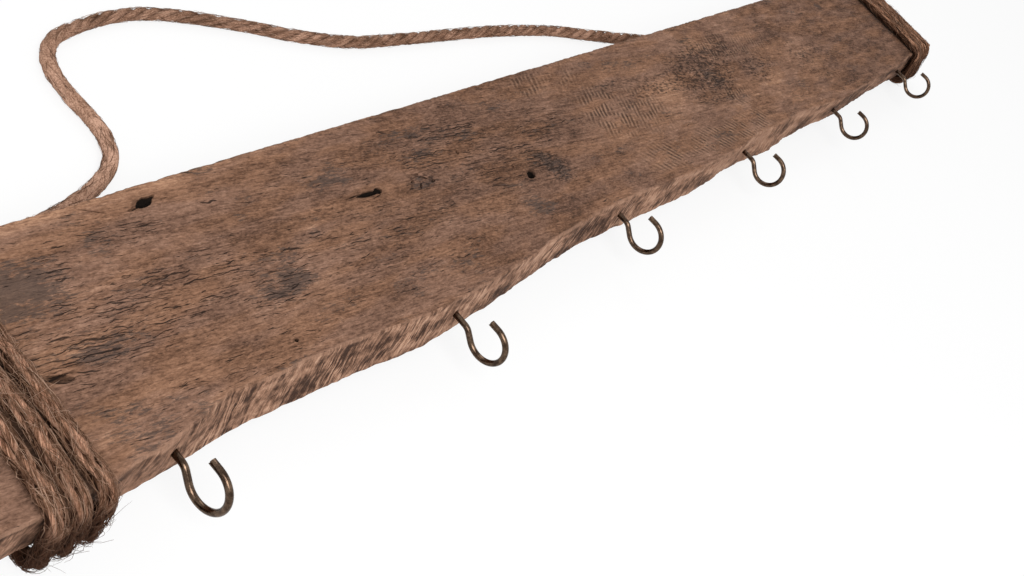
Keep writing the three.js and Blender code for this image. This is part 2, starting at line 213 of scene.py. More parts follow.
class Look:
    """A material, or the world, and its nodes."""

    def __init__(self, name, world=False):
        made = (bpy.data.worlds if world else bpy.data.materials).new(name)
        made.use_nodes = True
        self.made = made
        self.output = "ShaderNodeOutputWorld" if world else "ShaderNodeOutputMaterial"
        self.tree = made.node_tree
        self.tree.nodes.clear()

    def node(self, kind, settings=None, sockets=None, out=0):
        """A new node's output, once its settings are made and its sockets have their values or links."""
        made = self.tree.nodes.new(kind)
        for key, value in (settings or {}).items():
            if key == "stops":
                ramp = made.color_ramp.elements
                while len(ramp) < len(value):
                    ramp.new(0.5)
                for stop, (place, colour) in zip(ramp, value):
                    stop.position = place
                    stop.color = (*colour, 1)
            else:
                setattr(made, key, value)
        for key, value in (sockets or {}).items():
            if isinstance(value, Value):
                self.tree.links.new(value.socket, made.inputs[key])
            else:
                made.inputs[key].default_value = value
        return Value(self, made.outputs[out]) if made.outputs else None

    def place(self):
        """The piece's own coordinates, in millimetres."""
        own = self.node("ShaderNodeTexCoord", out="Object")
        return self.node("ShaderNodeVectorMath", {"operation": "SCALE"}, {0: own, "Scale": 1 / MM})

    def parts(self, vector):
        """The three numbers of a vector."""
        split = self.node("ShaderNodeSeparateXYZ", None, {0: vector})
        return [Value(self, socket) for socket in split.socket.node.outputs]

    def attribute(self, name):
        return self.node("ShaderNodeAttribute", {"attribute_name": name}, out="Fac")

    def turned(self, place, turn=0.0, shift=(0, 0, 0), lean=0.0):
        """Coordinates turned about Z and leant about Y by degrees, then shifted."""
        return self.node("ShaderNodeMapping", {"vector_type": "POINT"}, {
            "Vector": place, "Rotation": (0, math.radians(lean), math.radians(turn)), "Location": shift,
        })

    def stretched(self, place, size, **turns):
        """Turned coordinates in which one unit is as long as size says."""
        turned = self.turned(place, **turns)
        return self.node("ShaderNodeVectorMath", {"operation": "DIVIDE"}, {0: turned, 1: size})

    def cloud(self, where, detail, rough, bend=0.0):
        return self.node("ShaderNodeTexNoise", None, {
            "Vector": where, "Scale": 1.0, "Detail": detail, "Roughness": rough, "Distortion": bend,
        })

    def noise(self, place, size, detail=2.0, rough=0.5, bend=0.0, **turns):
        return self.cloud(self.stretched(place, size, **turns), detail, rough, bend)

    def mixed(self, first, second, share, way="MIX"):
        """first where share is 0, second where it is 1. Each is a colour or a socket of one."""
        full = [value if isinstance(value, Value) else (*value, 1) for value in (first, second)]
        return self.node("ShaderNodeMix", {"data_type": "RGBA", "blend_type": way, "clamp_factor": True}, {
            0: share, 6: full[0], 7: full[1],
        }, out=2)

    def finish(self, colour, roughness, height, metal=0.0, specular=0.3):
        """The shader, with a bump whose height is in millimetres."""
        bump = self.node("ShaderNodeBump", None, {"Strength": 1.0, "Distance": MM, "Height": height})
        shader = self.node("ShaderNodeBsdfPrincipled", None, {
            "Base Color": colour, "Roughness": roughness, "Normal": bump, "Metallic": metal,
            "Specular IOR Level": specular,
        })
        self.show(shader)
        return self.made

    def show(self, shader):
        self.node(self.output, None, {"Surface": shader})


# Lines, meshes and what they carry.
def along_steps(points):
    return np.concatenate([[0.0], np.cumsum(np.linalg.norm(np.diff(points, axis=0), axis=1))])


def flowing_line(points, carried=None, parts=12):
    """A smooth line through all the points, and what they carry, blended between them."""
    points = np.array(points, float)
    carried = np.zeros((len(points), 3)) if carried is None else np.array(carried, float)
    ends = np.vstack([2 * points[0] - points[1], points, 2 * points[-1] - points[-2]])
    line, held = [], []
    for i in range(len(points) - 1):
        p = ends[i:i + 4]
        t = np.concatenate([[0.0], np.cumsum(np.linalg.norm(np.diff(p, axis=0), axis=1) ** 0.5)])
        for s in np.linspace(0, 1, parts, endpoint=False):
            u = t[1] + (t[2] - t[1]) * s
            a = [((t[k + 1] - u) * p[k] + (u - t[k]) * p[k + 1]) / (t[k + 1] - t[k]) for k in range(3)]
            b = [((t[k + 2] - u) * a[k] + (u - t[k]) * a[k + 1]) / (t[k + 2] - t[k]) for k in range(2)]
            line.append(((t[2] - u) * b[0] + (u - t[1]) * b[1]) / (t[2] - t[1]))
            held.append(carried[i] * (1 - s) + carried[i + 1] * s)
    line.append(points[-1])
    held.append(carried[-1])
    return np.array(line), np.array(held)


def evenly(line, held, step):
    """The same line with points one step apart."""
    along = along_steps(line)
    wanted = np.linspace(0, along[-1], max(2, round(along[-1] / step) + 1))

    def spread(values):
        return np.stack([np.interp(wanted, along, values[:, k]) for k in range(3)], -1)

    return spread(line), spread(held), wanted


def unit(vectors):
    return vectors / np.maximum(np.linalg.norm(vectors, axis=-1, keepdims=True), 1e-12)


def headings(line):
    return unit(np.gradient(line, axis=0))


def square_to(vectors, direction):
    return unit(vectors - direction * (vectors * direction).sum(-1, keepdims=True))


def across(line, outward):
    """The directions up from a line, on the side that outward points to, and sideways from it."""
    ahead = headings(line)
    up = square_to(outward, ahead)
    return up, np.cross(ahead, up)


def level_at(table, x):
    """A value that a table of places and levels gives at x, blended between its places."""
    places, levels = zip(*table)
    return float(np.interp(x, places, levels))


def clamped(value):
    return max(0.0, min(1.0, value))


def in_mm(point):
    return [number / MM for number in point]


def ripple(x, y, z):
    """A smooth random value of a place, about -1 to 1."""
    return noise.noise(Vector((x, y, z)))


def wander(along, reach, seed):
    """A slow unsteady value along a rope, about -1 to 1."""
    return np.array([ripple(s / reach, seed, 0.37) for s in along]) * 1.6


def in_scene(name, data):
    """A new object of this data, in the scene."""
    made = bpy.data.objects.new(name, data)
    bpy.context.scene.collection.objects.link(made)
    return made


def mesh_piece(name, vertices, faces, look):
    mesh = bpy.data.meshes.new(name)
    mesh.from_pydata([tuple(v) for v in vertices], [], faces)
    mesh.materials.append(look)
    mesh.polygons.foreach_set("use_smooth", [True] * len(mesh.polygons))
    return in_scene(name, mesh)


def point_values(piece, name, values):
    held = piece.data.attributes.new(name, "FLOAT", "POINT")
    held.data.foreach_set("value", np.asarray(values, np.float32))


def placed():
    """The new primitive, with its place, turn and size moved into its mesh."""
    bpy.ops.object.transform_apply(location=True, rotation=True, scale=True)
    return bpy.context.object


def deselect():
    bpy.ops.object.select_all(action="DESELECT")


def cut_away(piece, cutter):
    """The piece without what the cutter fills. The cutter is used up."""
    deselect()
    bpy.context.view_layer.objects.active = piece
    piece.select_set(True)
    cut = piece.modifiers.new("cut", "BOOLEAN")
    cut.operation = "DIFFERENCE"
    cut.object = cutter
    cut.solver = "EXACT"
    bpy.ops.object.modifier_apply(modifier="cut")
    bpy.data.objects.remove(cutter)


def belong(piece, body, slot, *nodes):
    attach(piece, body)
    if nodes:
        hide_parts(*nodes)


# The finishes of rope, bronze and wood.
def jute_look(name, middle, contrast, groove_shade_share, ground_shade=0.0):
    """Coarse jute fibres along the yarn, with this middle colour. Painted shade darkens the grooves between
    the yarns.
    The last argument is how much painted shade darkens the rope near the ground."""
    look = Look(name)
    uv = look.node("ShaderNodeUVMap", {"uv_map": "strand"})
    hollow = look.attribute("hollow")
    tone = look.attribute("tone")
    fibre = look.noise(uv, (0.009, 0.00045, 1), detail=3, rough=0.65)
    yarn = look.noise(uv, (0.022, 0.0013, 1), detail=2, bend=0.3)
    speckle = look.noise(look.place(), (1.0, 1.0, 1.0), detail=3, rough=0.65)
    patch = look.noise(look.place(), (14, 14, 14), detail=2)
    combed = contrast - look.attribute("woolly") * (0.75 * contrast)
    level = (
        0.5 + (fibre - 0.5) * combed * 1.5 + (yarn - 0.5) * combed * 0.9
        + (speckle - 0.5) * (1.5 - combed * 0.6) + (patch - 0.5) * 0.7 + tone * 0.09
    )
    shades = (0.30, 0.62, 1.0, 1.5, 2.0)
    straw = look.node("ShaderNodeValToRGB", {"stops": [
        (0.12 + 0.19 * k, tuple(min(0.9, c * shade ** (1 + 0.12 * n)) for n, c in enumerate(middle)))
        for k, shade in enumerate(shades)
    ]}, {0: level})
    # Painted shade near the ground.
    if ground_shade:
        straw = by_height(look, straw, ground_shade)
    # Painted shade in the grooves between the yarns and strands, and on a winding between its turns and
    # against the board.
    colour = look.mixed(straw, (0.030, 0.012, 0.006), hollow.eased(0.2, 0.85) * groove_shade_share)
    return look.finish(colour, 0.95, fibre * 0.5 + yarn * 0.7 + speckle * 0.35, specular=0.08)


def by_height(look, colour, ground_shade):
    """The colour with painted shade near the ground, darker there by this share."""
    _, _, height = look.parts(look.place())
    return look.mixed(colour, (0.052, 0.022, 0.012), (1 - height.eased(34.0, 64.0)) * ground_shade)


def fibre_look(name, ground_shade=0.0):
    look = Look(name)
    tone = look.attribute("tone") + look.noise(look.place(), (5, 5, 5), detail=1) * 0.3 - 0.15
    colour = look.node("ShaderNodeValToRGB", {"stops": [
        (0.05, (0.085, 0.040, 0.022)), (0.50, (0.27, 0.146, 0.090)), (0.95, (0.50, 0.32, 0.225)),
    ]}, {0: tone})
    # Painted shade near the ground.
    if ground_shade:
        colour = by_height(look, colour, ground_shade)
    return look.finish(colour, 0.85, tone * 0.02, specular=0.10)


def bronze_look():
    look = Look("antique_bronze")
    place = look.place()
    rubbed = look.noise(place, (3.5, 3.5, 3.5), detail=4, rough=0.6)
    speck = look.noise(place, (0.5, 0.5, 0.5), detail=2)
    worn = (rubbed * 0.75 + speck * 0.35).eased(0.42, 0.75)
    dark = look.mixed((0.042, 0.026, 0.018), (0.165, 0.109, 0.073), worn)
    return look.finish(dark, 0.12 + rubbed * 0.20, rubbed * 0.04 + speck * 0.02, metal=1.0)


def wavy_splits(look, place, spacing, turn, wave, width, here, seed):
    """Thin dark splits along the grain, a spacing apart, each coming and going along its length.
    Gives their darkness, and the saw-tooth height of the curled scales between them, both from 0 to 1."""
    turned = look.turned(place, turn, (seed, seed * 0.7, 0))
    x, y, _ = look.parts(turned)
    bend = look.noise(turned, (wave, wave * 0.5, 40), detail=2, rough=0.5)
    slow = look.noise(turned, (wave * 3.4, wave * 1.1, 40), detail=1)
    count = y / spacing + (bend - 0.5) * (wave / spacing * 0.20) + (slow - 0.5) * (wave / spacing * 0.5)
    line = count.sum("FLOOR")
    share = count - line

    def along_line(reach, first, second):
        """A value that changes along each split on its own."""
        places = {0: x / reach + line * first, 1: line * second, 2: seed}
        return look.cloud(look.node("ShaderNodeCombineXYZ", None, places), detail=2.0, rough=0.55)

    path = 0.5 + (along_line(wave * 1.1, 2.93, 7.31) - 0.5) * 1.3
    near = abs(share - path) * spacing
    going = along_line(wave * 0.62, 5.37, 3.71)
    open_width = ((going + here * 0.27 - 0.645) * (width * 6.0)).most(0.0).least(width)
    dark = ((open_width - near) / 0.20).most(0.0).least(1.0)
    return dark, (share - path + 1).sum("FRACT")


def grain(look, place):
    """The brown of the wood, and the height of its fibres and scales."""
    streaks = look.noise(place, (38, 1.9, 1.9), detail=4, rough=0.65, bend=0.3, turn=5)
    fibre = look.noise(place, (7, 1.0, 1.0), detail=3, rough=0.7, turn=7)
    scales = look.noise(place, (4.6, 2.0, 2.0), detail=3, rough=0.7, bend=0.5, turn=9)
    drift = look.noise(place, (70, 26, 26), detail=2)
    mottle = look.noise(place, (12, 5, 5), detail=3, rough=0.6, bend=0.4, turn=6)
    patches = look.noise(place, (34, 8, 8), detail=4, rough=0.64, bend=0.7, turn=6, shift=(5, 5, 0))
    pepper = look.noise(place, (2.2, 1.3, 1.3), detail=2, rough=0.7)
    along, _, _ = look.parts(place)
    far_off = along.eased(0.0, 160.0)
    warm = look.attribute("warm")
    # The level is lowered by painted shade that dims the wood along the board.
    level = (
        0.53 + (streaks - 0.5) * 0.45 + (fibre - 0.5) * 0.6 + (scales - 0.5) * 0.55 + (drift - 0.5) * 0.5
        + (pepper - 0.5) * 0.6 + (mottle - 0.5) * 0.45 + (patches - 0.5) * (far_off * 0.7 + 0.15)
        - look.attribute("dusk") * 0.12 + warm * 0.2
    )
    brown = look.node("ShaderNodeValToRGB", {"stops": [
        (0.12, (0.050, 0.027, 0.018)), (0.34, (0.130, 0.070, 0.047)), (0.52, (0.220, 0.123, 0.084)),
        (0.70, (0.300, 0.174, 0.121)), (0.92, (0.44, 0.268, 0.190)),
    ]}, {0: level})
    hue = look.noise(place, (55, 15, 15), detail=2, shift=(31, 9, 0)).eased(0.40, 0.62)
    tint = look.mixed((1.0, 0.97, 0.94), (1.06, 0.97, 0.84), hue.most(warm))
    height = streaks * 0.5 + fibre * 0.35 + scales * 0.9 + pepper * 0.25
    return look.mixed(brown, tint, 1.0, way="MULTIPLY"), fibre, height


def stained(look, place, colour, fibre, spread):
    """The colour with grey weather stains, broken into streaks and islands along the grain."""
    cloud = look.noise(place, (6, 1.5, 1.5), detail=5, rough=0.72, bend=0.3, turn=8)
    soaked = (cloud * 1.3 + spread * 1.0 + look.attribute("stain") * 0.26).eased(1.31, 1.45)
    grey = look.mixed((0.054, 0.036, 0.029), (0.100, 0.072, 0.060), fibre)
    return look.mixed(colour, grey, soaked * 0.74)


def weather_checks(look, place, spread):
    """Checks along the grain, and the height of the scales between them."""
    flurry = look.noise(place, (17, 8, 8), detail=2, turn=12, shift=(0, 13, 0))
    strength = look.attribute("checks") * 0.78 + (spread - 0.5) * 1.4 + (flurry - 0.5) * 2.2
    long_dark, plates = wavy_splits(look, place, 6.0, 7, 17.0, 0.44, strength, 3.0)
    mid_dark, scale = wavy_splits(look, place, 3.4, 10, 9.0, 0.32, strength * 1.15, 57.0)
    short_dark, chips = wavy_splits(look, place, 2.4, 5, 5.5, 0.27, strength * 0.7 + 0.16, 91.0)
    split = long_dark.most(mid_dark * 0.85).most(short_dark * 0.6)
    return split, (plates * 0.8 + scale * 0.7 + chips * 0.5) * strength.eased(-0.1, 0.8).most(0.35)


def saw_marks(look, place):
    """Ridges across the grain, in two leans, and where on the board they are."""
    def ridges(size, turn):
        return look.node("ShaderNodeTexWave", {"wave_type": "BANDS", "bands_direction": "X"}, {
            "Vector": look.stretched(place, (size, size, size), turn=turn),
            "Scale": 1.0, "Distortion": 2.6, "Detail": 2.0, "Detail Scale": 0.9,
        }, out="Fac")

    patchy = look.noise(place, (15, 8, 8), detail=3, shift=(7, 70, 0)).eased(0.42, 0.56)
    both = look.node("ShaderNodeMix", {"data_type": "FLOAT"}, {
        0: look.attribute("lower"), 2: ridges(14.0, 27), 3: ridges(14.5, -33),
    })
    return both, look.attribute("sawn") * patchy


def sawn_side(look, place):
    """The sawn sides: upright bands, torn and darker in the hollows. Gives their colour and height."""
    bands = look.noise(place, (2.5, 70, 22), detail=3, rough=0.7, bend=0.4, lean=-14)
    hairs = look.noise(place, (1.0, 40, 9), detail=2, rough=0.6, lean=-17)
    torn = look.noise(place, (5, 30, 6), detail=4, rough=0.68, shift=(0, 0, 40), lean=-10)
    worn = look.noise(place, (46, 30, 14), detail=3, shift=(9, 0, 0))
    broken = look.noise(place, (24, 40, 14), detail=2, shift=(0, 0, 9)).eased(0.40, 0.62)
    # The pale stretches are clean, and lighter with a painted highlight.
    pale, calm = look.attribute("pale"), look.attribute("calm")
    streaky = (0.55 + broken) * (1 - pale * 0.45) * (1 - calm * 0.6)
    # The level is lowered by painted shade that dims the wood along the board.
    level = (
        0.50 + (bands - 0.5) * streaky * 1.12 + (torn - 0.5) * (1.0 - calm * 0.5) + (worn - 0.5) * 0.9
        + (hairs - 0.5) * streaky * 0.62 - look.attribute("dusk") * 0.08 + pale * 0.12
    )
    brown = look.node("ShaderNodeValToRGB", {"stops": [
        (0.24, (0.050, 0.024, 0.015)), (0.40, (0.140, 0.073, 0.046)), (0.56, (0.315, 0.172, 0.110)),
        (0.80, (0.53, 0.32, 0.218)),
    ]}, {0: level})
    return brown, bands * 2.0 + torn * 1.5


def end_grain(look, place, fibre):
    rings = look.node("ShaderNodeTexWave", {"wave_type": "RINGS", "rings_direction": "X"}, {
        "Vector": look.stretched(place, (30, 30, 30), shift=(0, -20, 40)),
        "Scale": 1.0, "Distortion": 2.0, "Detail": 3.0,
    }, out="Fac")
    return look.mixed((0.075, 0.045, 0.032), (0.20, 0.118, 0.078), rings * 0.6 + fibre * 0.5)


def worm_specks(look, place, spread):
    """Pores and worm specks, longer along the grain."""
    pores = look.node("ShaderNodeTexVoronoi", {"feature": "F1"}, {
        "Vector": look.stretched(place, (6.0, 3.0, 3.0), turn=10), "Scale": 1.0,
    }, out="Distance")
    here = look.attribute("specks")
    blots = look.noise(place, (5.0, 2.6, 2.6), detail=3, rough=0.66, bend=0.6, turn=10, shift=(3, 40, 0))
    blots = (blots + here * 0.12).eased(0.64, 0.69)
    return (1 - pores.eased(0.16, 0.44)).most(blots) * (spread * 0.8 + here * 0.42).eased(0.44, 0.72)


def wood_look():
    look = Look("weathered_wood")
    place = look.place()
    side, end = look.attribute("side"), look.attribute("end")
    face_only = (1 - side) * (1 - end)
    spread = look.noise(place, (42, 16, 16), detail=3, rough=0.55, turn=5, shift=(11, 3, 0))

    brown, fibre, height = grain(look, place)
    colour = stained(look, place, brown, fibre, spread)
    split, relief = weather_checks(look, place, spread)
    split = split * face_only

    ridges, here = saw_marks(look, place)
    here = here * face_only
    # Painted highlight on the raised ridges of the saw marks.
    colour = look.mixed(colour, (0.36, 0.215, 0.14), (1 - ridges).eased(0.45, 0.95) * here * 0.6)
    marks = ridges.eased(0.35, 0.85) * here

    side_brown, side_height = sawn_side(look, place)
    colour = look.mixed(colour, side_brown, side)

    # Pinkish wood along the front arris, partly fresh rubbed wood and partly painted highlight, and dark
    # chips along the far one.
    rubbed = look.noise(place, (30, 9, 9), detail=4).eased(0.40, 0.60)
    rubbed = (1 - look.attribute("arris").eased(0.1, 1.3)) * rubbed
    colour = look.mixed(colour, (0.42, 0.245, 0.165), rubbed * 0.45)
    chipped = look.noise(place, (9, 3, 3), detail=3, rough=0.6, shift=(0, 0, 17)).eased(0.53, 0.60)
    colour = look.mixed(colour, (0.045, 0.026, 0.018), chipped * look.attribute("brink") * 0.85)

    colour = look.mixed(colour, end_grain(look, place, fibre), end)
    specks = worm_specks(look, place, spread) * face_only
    # The splits and specks are dark, and the grooves of the saw marks get painted shade.
    dark = split.most(specks * 0.85).most(marks * 0.68)
    colour = look.mixed(colour, (0.020, 0.011, 0.008), dark * 0.88)
    # Painted shade in the pits, in the hooks' holes and between the turns of rope.
    colour = look.mixed(colour, (0.010, 0.006, 0.004), look.attribute("pit"))
    height = (
        height + relief * face_only * 1.5 - split * 1.1 - specks * 0.8 - marks * 0.7 + side_height * side
    )
    return look.finish(colour, 0.88, height, specular=0.16)


# The rope.
def lay_strands(line, outward, along, lay, thick, wide, swell, seed, merged=0.0, girth=1.0):
    """The centre lines of a left-laid rope's strands, with the direction from the rope's middle to each.
    Where merged is 1 the grooves between them nearly close. girth is the rope's thickness, as a share."""
    up, sideways = across(line, outward)
    strands = []
    for k in range(STRAND_COUNT):
        angle = 2 * math.pi * (k / STRAND_COUNT - along / lay) + 0.5 * wander(along, 0.05, seed + 7.1)
        reach = STRAND_OFFSET + (WOOLLY_OFFSET - STRAND_OFFSET) * merged
        reach = reach * girth * (1 + swell * wander(along, 0.012, seed + 3.3 * k + 1))
        away = up * (np.cos(angle) * thick)[:, None] + sideways * (np.sin(angle) * wide)[:, None]
        centre = line + away * reach[:, None]
        radius = (STRAND_RADIUS + (WOOLLY_RADIUS - STRAND_RADIUS) * merged) * girth
        radius = radius * (1 + swell * wander(along, 0.009, seed + 5.7 * k + 2))
        # Painted light: the loose rope is lighter where its strands have merged.
        tones = wander(along, 0.06, seed + 9.1 * k) * (1 - 0.85 * merged) + 1.9 * merged
        strands.append((centre, away, radius, tones, 2 * math.pi * STRAND_OFFSET / lay, STRAND_SIDES))
    return strands


def lay_yarns(strands, seed):
    """Each strand opened into the yarns that it is twisted from, which wander as they do in coarse jute."""
    yarns = []
    for n, (centre, away, radius, tones, lean, _) in enumerate(strands):
        along = along_steps(centre)
        up, sideways = across(centre, away)
        for k in range(YARN_COUNT):
            number = seed + 13.7 * n + 3.9 * k
            angle = 2 * math.pi * (k / YARN_COUNT + along / YARN_LAY) + 1.1 * wander(along, 0.03, number)
            out = up * np.cos(angle)[:, None] + sideways * np.sin(angle)[:, None]
            reach = radius * (1 - YARN_SHARE) * (1.04 + 0.22 * wander(along, 0.011, number + 1.3))
            thick = radius * YARN_SHARE * (1 + 0.16 * wander(along, 0.008, number + 2.1))
            yarn_tones = tones + 0.9 * wander(along, 0.02, number + 5.0)
            yarns.append((centre + out * reach[:, None], out, thick, yarn_tones, 0.25, YARN_SIDES))
    return yarns


def strand_skin(centre, away, radius, tones, lean, sides):
    """One strand's skin: vertices, faces, UV pairs for each corner, painted shade values and tones."""
    up, sideways = across(centre, away)
    turns = np.linspace(-math.pi, math.pi, sides, endpoint=False)
    ring = up[:, None] * np.cos(turns)[None, :, None] + sideways[:, None] * np.sin(turns)[None, :, None]
    vertices = (centre[:, None] + ring * radius[:, None, None]).reshape(-1, 3)
    # Painted shade on the side of each strand or yarn that faces the middle of its rope.
    hollow = np.tile((1 - np.cos(turns)) / 2, len(centre))
    tone = np.repeat(tones, sides)
    along = along_steps(centre)
    faces, pairs = [], []
    girth = 2 * math.pi * float(np.mean(radius))
    for i in range(len(centre) - 1):
        for j in range(sides):
            k = (j + 1) % sides
            a, b = i * sides, (i + 1) * sides
            faces.append((a + j, a + k, b + k, b + j))
            low, high = girth * j / sides, girth * (j + 1) / sides
            v, w = along[i], along[i + 1]
            pairs += [(v, low - lean * v), (v, high - lean * v), (w, high - lean * w), (w, low - lean * w)]
    last = (len(centre) - 1) * sides
    for cap in (range(sides - 1, -1, -1), range(last, last + sides)):
        faces.append(tuple(cap))
        pairs += [(0.0, 0.0003 * j) for j in range(sides)]
    return vertices, faces, pairs, hollow, tone


def rope_piece(name, strands, look, shade):
    """The rope's mesh. shade turns each strand's vertices and painted shade values into its final painted
    shade values.
    """
    vertices, faces, pairs, hollow, tone = [], [], [], [], []
    start = 0
    for strand in strands:
        v, f, p, h, t = strand_skin(*strand)
        hollow.append(shade(v, h, strand[-1]))
        v[:, 2] = np.maximum(v[:, 2], GROUND)
        vertices.append(v)
        faces += [tuple(i + start for i in face) for face in f]
        pairs += p
        tone.append(t)
        start += len(v)
    piece = mesh_piece(name, np.vstack(vertices), faces, look)
    uv = piece.data.uv_layers.new(name="strand")
    uv.data.foreach_set("uv", np.array(pairs, np.float32).ravel())
    point_values(piece, "hollow", np.concatenate(hollow))
    point_values(piece, "tone", np.concatenate(tone))
    return piece


def add_fibre(vertices, faces, tones, points, thickness, tone):
    """A fibre of three sides through these points, thinner towards its ends."""
    first = len(vertices)
    count = len(points)
    for i, point in enumerate(points):
        way = points[min(i + 1, count - 1)] - points[max(i - 1, 0)]
        way = way / max(np.linalg.norm(way), 1e-9)
        aside = np.cross(way, (0.31, 0.52, 0.79))
        aside /= max(np.linalg.norm(aside), 1e-9)
        other = np.cross(way, aside)
        thin = thickness * (1 - 0.7 * abs(2 * i / (count - 1) - 0.8) ** 2 / 1.44)
        middle = np.array((point[0], point[1], min(max(point[2], LOWEST_FIBRE + thin), HIGHEST_FIBRE)))
        for corner in range(3):
            turn = 2 * math.pi * corner / 3
            vertices.append(middle + (aside * math.cos(turn) + other * math.sin(turn)) * thin)
        tones += [tone] * 3
    for i in range(count - 1):
        a, b = first + i * 3, first + (i + 1) * 3
        faces += [(a + c, a + (c + 1) % 3, b + (c + 1) % 3, b + c) for c in range(3)]
    last = first + (count - 1) * 3
    faces += [(first + 2, first + 1, first), (last, last + 1, last + 2)]


def fibre_piece(
    name, line, outward, look, laid, stray, longest, girth=1.0, wide=1.0, keep_out=None, bridging=False,
):
    """The fibres on a rope: some laid along its skin, and some that stray over it, or bridge two turns."""
    up, sideways = across(line, outward)
    vertices, faces, tones = [], [], []
    radius = ROPE_RADIUS * girth * np.ones(len(line))

    def hidden(i, angle):
        away = up[i] * math.cos(angle) + sideways[i] * math.sin(angle)
        return keep_out is not None and keep_out(line[i], away)

    def lay_one():
        """A fibre along the skin. Says whether it was laid, since none is where it would be hidden."""
        steps = rng.randrange(5, 9)
        stride = rng.choice((1, 1, 2))
        i = rng.randrange(2, len(line) - steps * stride - 2)
        angle = rng.uniform(-math.pi, math.pi)
        drift = rng.gauss(0, 0.16)
        if hidden(i, angle):
            return False
        reach = radius[i] * rng.uniform(0.90, 1.02)
        points = []
        for step in range(steps):
            j, turn = i + step * stride, angle + drift * step
            away = up[j] * math.cos(turn) + sideways[j] * (math.sin(turn) * wide)
            points.append(line[j] + away * (reach * (1 + 0.05 * math.sin(step * 1.7 + angle))))
        add_fibre(vertices, faces, tones, points, rng.uniform(*LAID_THICKNESS), rng.gauss(*LAID_TONES))
        return True

    def stray_one():
        """A fibre that leaves the skin and comes back to it."""
        i = rng.randrange(12, len(line) - 12)
        angle = rng.gauss(0, 0.9) if bridging else rng.uniform(-math.pi, math.pi)
        if hidden(i, angle):
            return False
        length = SHORTEST_STRAY * (longest / SHORTEST_STRAY) ** (rng.random() ** 1.3)
        most_slant, most_arch, most_sway = (0.75, 0.4, 0.36) if bridging else (0.35, 0.2, 0.06)
        slant = rng.gauss(0, most_slant)
        aside = length * math.sin(slant)
        onward = length * math.cos(slant) / ROPE_STEP
        arch = rng.uniform(0.0, most_arch)
        sway = rng.uniform(-most_sway, most_sway) * length
        turn = rng.uniform(0, 2 * math.pi)
        points = []
        for t in np.linspace(0, 1, STRAY_POINTS):
            j = min(max(i + onward * (t - 0.5), 0.0), len(line) - 1.001)
            low, part = int(j), j - int(j)
            middle = line[low] * (1 - part) + line[low + 1] * part
            out = up[low] * math.cos(angle) + sideways[low] * math.sin(angle)
            beside = sideways[low] * math.cos(angle) - up[low] * math.sin(angle)
            lift = radius[low] * (1.0 + arch * math.sin(math.pi * t) ** 2)
            drift = aside * (t - 0.5) + sway * math.sin(turn + 3.2 * t)
            points.append(middle + out * lift + beside * drift)
        add_fibre(vertices, faces, tones, points, rng.uniform(*STRAY_THICKNESS), rng.gauss(*STRAY_TONES))
        return True

    for count, add in ((laid, lay_one), (stray, stray_one)):
        made = 0
        while made < count:
            made += add()
    piece = mesh_piece(name, np.array(vertices), faces, look)
    point_values(piece, "tone", tones)
    return piece


# The windings. Their route has the solids' numbers, but the turns of the right one are pressed together.
WINDING_SEAT = 0.0003
TURN_PITCH = 0.0123
RIGHT_SQUEEZE = 0.0010
EDGE_ROUNDING = 0.003
CROSSING_GAP = 0.0006
SLACK_OUT_SHARE = 0.3
CROSSING_SHARES = (0.58, 0.84)
EXIT_INSET = 0.016
EXIT_REACH = 0.004
CROSSING_RUN = 0.16
CROSSING_FADE = 0.03
TURN_SWAY = 0.0008
TURN_LIFT = 0.0004
NEAR_WOOD = 0.006
GROUND_CLEARANCE = 0.0003
FLAT_SHARE = 0.1
CORNER_STEPS = 4
SHIFT_SHARES = (0.14, 0.24, 0.34, 0.44)
TAIL_SHARE = 0.52
DROP_SHARES = ((0.08, 0.1), (0.16, 0.5), (0.24, 0.9), (0.32, 1))
UNDER_TURNS = BOARD_THICKNESS + WINDING_SEAT + ROPE_RADIUS
CROSSING_DEPTH = UNDER_TURNS + ROPE_DIAMETER + CROSSING_GAP
GROUND_DEPTH = CROSSING_DEPTH + ROPE_RADIUS - ROPE_DIAMETER * FLAT_SHARE


def wear_at(wear, x):
    """How far the front edge is worn back at x."""
    return BOARD_WIDTH * level_at(wear, x / BOARD_LENGTH + 0.5)


def turn_points(x, slack):
    """The points of one turn and their outward directions, from the far back corner to the near one."""
    face = wear_at(FACE_WEAR, x)
    back = wear_at(BACK_WEAR, x)
    low = EDGE_ROUNDING - BOARD_THICKNESS
    centres = [
        (BOARD_WIDTH - EDGE_ROUNDING, low), (BOARD_WIDTH - EDGE_ROUNDING, -EDGE_ROUNDING),
        (face + EDGE_ROUNDING, -EDGE_ROUNDING),
        (back + EDGE_ROUNDING - slack * SLACK_OUT_SHARE, low - slack),
    ]
    leaving = []
    for i, (y, z) in enumerate(centres):
        next_y, next_z = centres[(i + 1) % 4]
        leaving.append(math.atan2(y - next_y, next_z - z))
    reach = EDGE_ROUNDING + WINDING_SEAT + ROPE_RADIUS
    points = []
    for i, (y, z) in enumerate(centres):
        start = leaving[(i + 3) % 4]
        bend = (leaving[i] - start) % (2 * math.pi)
        for k in range(CORNER_STEPS + 1):
            angle = start + bend * k / CORNER_STEPS
            out = (0.0, math.cos(angle), math.sin(angle))
            points.append(((x, y + out[1] * reach, z + out[2] * reach), out))
    return points


